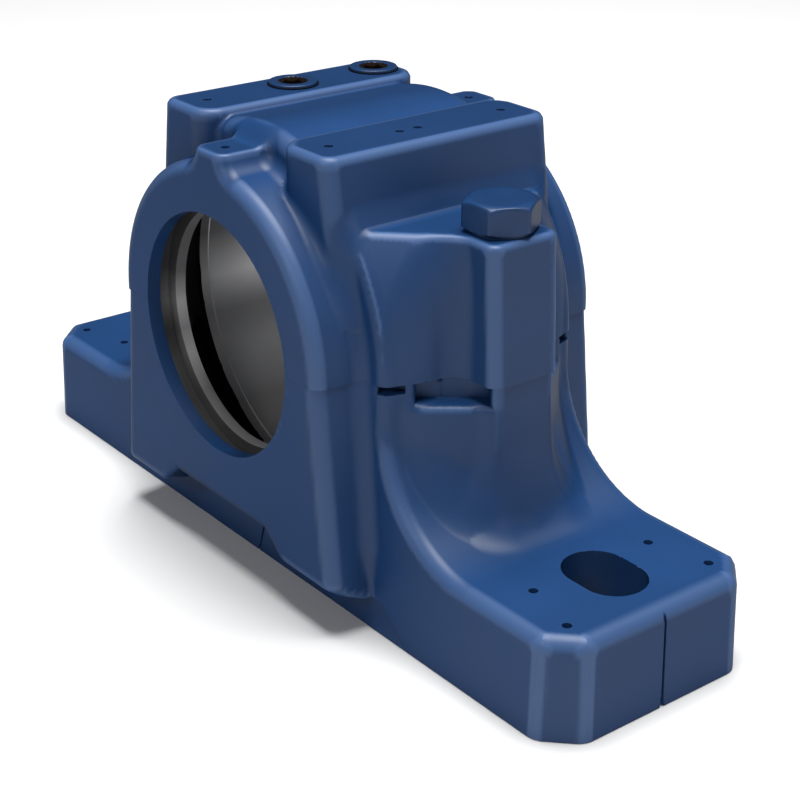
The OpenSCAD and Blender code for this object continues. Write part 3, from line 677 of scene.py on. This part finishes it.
# The same enamel on turned and rolled steel: smoother than on the castings, with no sand grain, and
# with a slow drift of tone and gloss 3 mm across.
coat_drift = 0.003
enamel_on_steel, tree = new_material("satin_enamel_on_steel")
where = add_node(tree, "ShaderNodeTexCoord")
drift = add_node(tree, "ShaderNodeTexNoise", {"Scale": 1 / (2 * coat_drift), "Detail": 2.0},
                 Vector=(where, "Object"))
tone = add_node(tree, "ShaderNodeValToRGB", Fac=(drift, "Fac"))
tone.color_ramp.elements[0].position = 0.3
tone.color_ramp.elements[0].color = from_hex("#163257")
tone.color_ramp.elements[1].position = 0.7
tone.color_ramp.elements[1].color = from_hex("#18355d")
gloss = add_node(tree, "ShaderNodeMapRange", {"To Min": 0.38, "To Max": 0.48}, Value=(drift, "Fac"))
peel = add_node(tree, "ShaderNodeBump", {"Strength": 0.12, "Distance": 0.00003}, Height=(drift, "Fac"))
# The coat's colour is darkened where it is seen edge-on: painted shade.
coat, sheen = edge_on_shade_and_sheen(tree, (tone, "Color"))
shader = add_node(tree, "ShaderNodeBsdfPrincipled", Base_Color=(coat, "Vector"), Roughness=(gloss, "Result"),
                  Specular_IOR_Level=(sheen, "Result"), Normal=(peel, "Normal"))
add_node(tree, "ShaderNodeOutputMaterial", Surface=(shader, "BSDF"))


def one_finish(x, y, z):
    """The same material all over."""
    return np.zeros(len(x))


for node, side in (("cap_bolt_left", -1), ("cap_bolt_right", 1)):
    def placed(x, y, z, side=side):
        """The bolt's own field, moved to its hole."""
        return bolt_field(x - side * bolt_x, y, z - ledge_z)

    low_x, high_x = side * bolt_x - head_reach, side * bolt_x + head_reach
    bolt = cast_surface(node + "_painted", placed,
                        (grid_planes(low_x, high_x, 0.42), grid_planes(-head_reach, head_reach, 0.42),
                         grid_planes(ledge_z - 61, ledge_z + 9.4, 2.5, [(ledge_z + 4.5, 5.5, 0.4)])),
                        one_finish, [enamel_on_steel])
    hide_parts(node)
    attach(bolt, "root")


# Locating pins
# Two plain steel pins across the joint, ground to size. They hold the cap true to the base and don't
# show while the housing is shut.

# Ground steel: a cool grey with a soft sheen, and rings 0.125 mm wide that the grinding wheel left.
grind_ring = 0.000125
ground_steel, tree = new_material("ground_steel")
where = add_node(tree, "ShaderNodeTexCoord")
stretch = add_node(tree, "ShaderNodeMapping", {"Scale": (200.0, 200.0, 1 / (2 * grind_ring))},
                   Vector=(where, "Object"))
grind = add_node(tree, "ShaderNodeTexNoise", {"Scale": 1.0, "Detail": 1.0}, Vector=(stretch, "Vector"))
shine = add_node(tree, "ShaderNodeMapRange", {"To Min": 0.22, "To Max": 0.32}, Value=(grind, "Fac"))
shader = add_node(tree, "ShaderNodeBsdfPrincipled", {"Base Color": from_hex("#b4b6ba"), "Metallic": 1.0},
                  Roughness=(shine, "Result"))
add_node(tree, "ShaderNodeOutputMaterial", Surface=(shader, "BSDF"))

for node in ("locating_pin_left", "locating_pin_right"):
    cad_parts[node].data.materials.clear()
    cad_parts[node].data.materials.append(ground_steel)


# Plug washers
# Flat black sealing rings of bonded fibre and rubber that the plugs press onto the left pad. They
# stand out as dark rims.


def turned_piece(name, middle, outline, steps, material):
    """A closed outline of (radius, height) in millimetres, carried once round a vertical axis: each
    point goes to middle + (radius cos a, radius sin a, height)."""
    outline = np.array(outline, float)
    a = np.linspace(0, 2 * math.pi, steps, endpoint=False)[:, None]
    x = middle[0] + outline[:, 0] * np.cos(a)
    y = middle[1] + outline[:, 0] * np.sin(a)
    z = middle[2] + outline[:, 1] + 0 * a
    n = len(outline)
    i, j = np.meshgrid(np.arange(steps), np.arange(n), indexing="ij")
    i2, j2 = (i + 1) % steps, (j + 1) % n
    faces = np.stack([i * n + j, i2 * n + j, i2 * n + j2, i * n + j2], -1).reshape(-1, 4)
    mesh = bpy.data.meshes.new(name)
    mesh.from_pydata((np.stack([x, y, z], -1).reshape(-1, 3) / 1000).tolist(), [], faces.tolist())
    mesh.materials.append(material)
    mesh.validate()
    piece = bpy.data.objects.new(name, mesh)
    bpy.context.scene.collection.objects.link(piece)
    return piece


# Black bonded fibre and rubber: dull, with a faint grey bloom in patches 0.6 mm across.
bloom_patch = 0.0006
black_seal, tree = new_material("black_seal")
where = add_node(tree, "ShaderNodeTexCoord")
bloom = add_node(tree, "ShaderNodeTexNoise", {"Scale": 1 / (2 * bloom_patch), "Detail": 2.0},
                 Vector=(where, "Object"))
tone = add_node(tree, "ShaderNodeValToRGB", Fac=(bloom, "Fac"))
tone.color_ramp.elements[0].color = from_hex("#050507")
tone.color_ramp.elements[1].color = from_hex("#0d0e12")
shader = add_node(tree, "ShaderNodeBsdfPrincipled", {"Roughness": 0.7, "Specular IOR Level": 0.05},
                  Base_Color=(tone, "Color"))
add_node(tree, "ShaderNodeOutputMaterial", Surface=(shader, "BSDF"))

washer_h, washer_in, washer_out, edge_in, edge_h = 0.35, 5.1, 7.35, 0.1, 0.05
washer_outline = [(washer_in, edge_h), (washer_in + edge_in, 0), (washer_out - edge_in, 0),
                  (washer_out, edge_h), (washer_out, washer_h - edge_h), (washer_out - edge_in, washer_h),
                  (washer_in + edge_in, washer_h), (washer_in, washer_h - edge_h)]
for node, py in zip(("plug_washer_middle", "plug_washer_rear"), plug_ys):
    washer = turned_piece(node + "_ring", (plug_x, py, pad_z), washer_outline, 96, black_seal)
    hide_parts(node)
    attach(washer, "root")


# Lubrication plugs
# Two collared screw plugs of steel in the left pad, painted with the housing. The paint doesn't
# reach the bottom of their hexagon sockets, which have rusted to a dark red-brown.

plug_collar_r, plug_collar_h, thread_r, thread_end = 6.95, 0.65, 4.85, -8.8
socket_half, socket_bottom, socket_mouth_r = 3.25, -3.7, 4.3


def plug_field(x, y, z):
    """Distance to one plug with its axis on Z and its collar standing at 0: collar and thread, less the
    socket with a small cone at its mouth."""
    r = np.hypot(x, y)
    a = np.mod(np.arctan2(y, x), math.pi / 3) - math.pi / 6
    collar = trim(np.maximum(r - plug_collar_r, -z), z - plug_collar_h, 0.35)
    thread = np.maximum(np.maximum(r - thread_r, z - 0.5), thread_end - z)
    socket = np.maximum(r * np.cos(a) - socket_half, socket_bottom - z)
    socket = np.minimum(socket, (r - socket_mouth_r - (z - plug_collar_h)) * diagonal)
    return np.maximum(np.minimum(collar, thread), -socket)


# Paint-free steel in the sockets, rusted: a dull dark red-brown with patches 0.5 mm across.
rust_patch = 0.0005
rusted_steel, tree = new_material("rusted_steel")
where = add_node(tree, "ShaderNodeTexCoord")
patch = add_node(tree, "ShaderNodeTexNoise", {"Scale": 1 / (2 * rust_patch), "Detail": 3.0},
                 Vector=(where, "Object"))
tone = add_node(tree, "ShaderNodeValToRGB", Fac=(patch, "Fac"))
tone.color_ramp.elements[0].position = 0.3
tone.color_ramp.elements[0].color = from_hex("#0e0807")
tone.color_ramp.elements[1].position = 0.7
tone.color_ramp.elements[1].color = from_hex("#1c100d")
shader = add_node(tree, "ShaderNodeBsdfPrincipled", {"Roughness": 0.8, "Specular IOR Level": 0.05},
                  Base_Color=(tone, "Color"))
add_node(tree, "ShaderNodeOutputMaterial", Surface=(shader, "BSDF"))

plug_z = pad_z + washer_h
for node, py in zip(("lube_plug_middle", "lube_plug_rear"), plug_ys):
    def placed(x, y, z, py=py):
        """The plug's own field, moved to its hole."""
        return plug_field(x - plug_x, y - py, z - plug_z)

    def socket_finish(x, y, z, py=py):
        """1 inside the socket, 0 elsewhere."""
        within = np.hypot(x - plug_x, y - py) < socket_mouth_r - 0.1
        below = z - plug_z < plug_collar_h - 0.05
        return (within & below & (z - plug_z > socket_bottom - 0.2)).astype(int)

    plug = cast_surface(node + "_painted", placed,
                        (grid_planes(plug_x - 8, plug_x + 8, 0.32), grid_planes(py - 8, py + 8, 0.32),
                         grid_planes(plug_z - 9.4, plug_z + 2, 1.0, [(plug_z - 1, 3, 0.3)])),
                        socket_finish, [enamel_on_steel, rusted_steel])
    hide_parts(node)
    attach(plug, "root")
